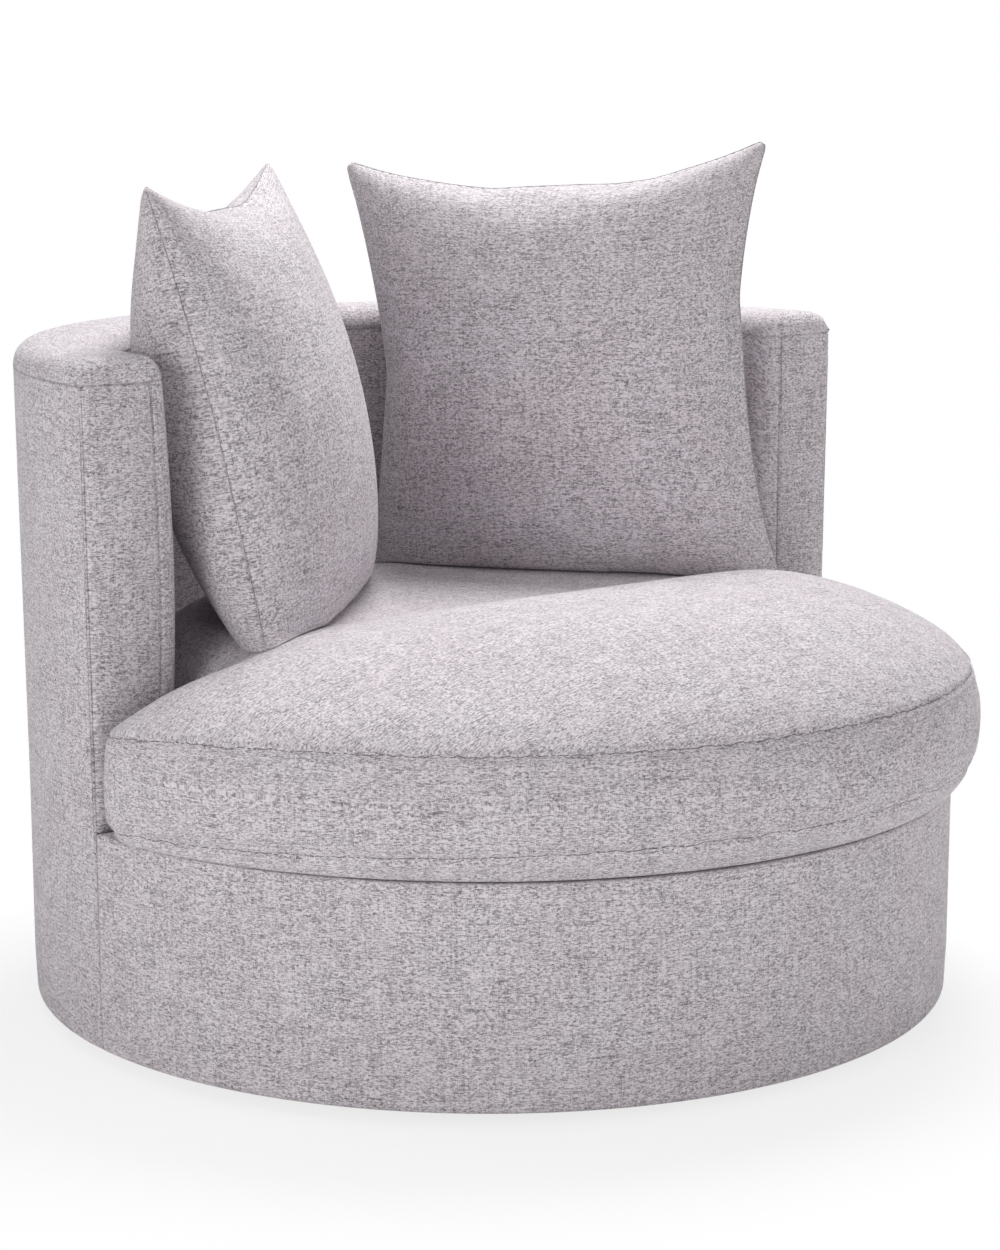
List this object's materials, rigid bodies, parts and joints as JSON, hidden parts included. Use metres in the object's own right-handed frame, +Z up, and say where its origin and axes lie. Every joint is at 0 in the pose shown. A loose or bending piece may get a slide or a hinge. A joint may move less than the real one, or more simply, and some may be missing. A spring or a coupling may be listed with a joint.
{
  "type": "swivel cuddle chair",
  "caption": "Round upholstered barrel chair on a hidden swivel base, with a thick overhanging seat cushion and loose square back cushions.",
  "frame": {"origin": "on the floor, on the swivel axis, in the middle of the centre glide's underside", "axes": "+Z up; the chair faces -Y at rest, so the sitter's left arm is at +X and the back is at +Y"},
  "size_m": [1.048, 1.0352, 0.9223],
  "materials": {
    "upholstery": "light grey melange weave, matt",
    "black_cloth": "plain black lining cloth, matt",
    "foam": "open-cell foam, matt",
    "plywood": "raw plywood, sanded",
    "hardboard": "raw hardboard",
    "steel": "zinc plated",
    "nylon": "moulded, matt"
  },
  "bodies": {
    "base": {"centre_glide": "nylon", "glide_1": "nylon", "glide_2": "nylon", "glide_3": "nylon", "glide_4": "nylon", "glide_5": "nylon", "plinth_board": "plywood", "bearing_lower_plate": "steel", "bearing_ball_cage": "steel"},
    "chair": {"bearing_upper_plate": "steel", "bottom_board": "plywood", "skirt_hoop": "plywood", "dust_cover": "black_cloth", "drum_post_1": "plywood", "drum_post_2": "plywood", "drum_post_3": "plywood", "drum_post_4": "plywood", "drum_post_5": "plywood", "drum_post_6": "plywood", "seat_hoop": "plywood", "drum_wrap_board": "hardboard", "front_spring_rail": "plywood", "rear_spring_rail": "plywood", "front_clip_strip": "steel", "rear_clip_strip": "steel", "seat_spring_1": "steel", "seat_spring_2": "steel", "seat_spring_3": "steel", "seat_spring_4": "steel", "spring_tie_wire": "steel", "deck_cloth": "black_cloth", "deck_pad": "upholstery", "back_rib_1": "plywood", "back_rib_2": "plywood", "back_rib_3": "plywood", "back_rib_4": "plywood", "back_rib_5": "plywood", "right_arm_board": "plywood", "left_arm_board": "plywood", "mid_hoop": "plywood", "top_hoop": "plywood", "inner_back_board": "hardboard", "outer_back_board": "hardboard", "drum_foam": "foam", "outer_back_foam": "foam", "inner_back_foam": "foam", "top_foam": "foam", "drum_cover": "upholstery", "outer_back_cover": "upholstery", "inner_back_cover": "upholstery", "top_band": "upholstery", "left_arm_panel": "upholstery", "right_arm_panel": "upholstery"},
    "seat": {"seat_cushion": "upholstery", "seat_cushion_zip": "black_cloth"},
    "right_scatter": {"right_scatter_cushion": "upholstery"},
    "left_scatter": {"left_scatter_cushion": "upholstery"}
  },
  "joints": [
    {"name": "swivel", "type": "hinge", "parent": "base", "child": "chair", "pos_m": [0, 0, 0], "axis": [0, 0, 1], "continuous": true},
    {"name": "seat_lift", "type": "slide", "parent": "chair", "child": "seat", "axis": [0, 0, 1], "range_m": [0, 0.5]},
    {"name": "right_scatter_lift", "type": "slide", "parent": "seat", "child": "right_scatter", "axis": [0, 0, 1], "range_m": [0, 0.35]},
    {"name": "left_scatter_lift", "type": "slide", "parent": "seat", "child": "left_scatter", "axis": [0, 0, 1], "range_m": [0, 0.35]}
  ]
}
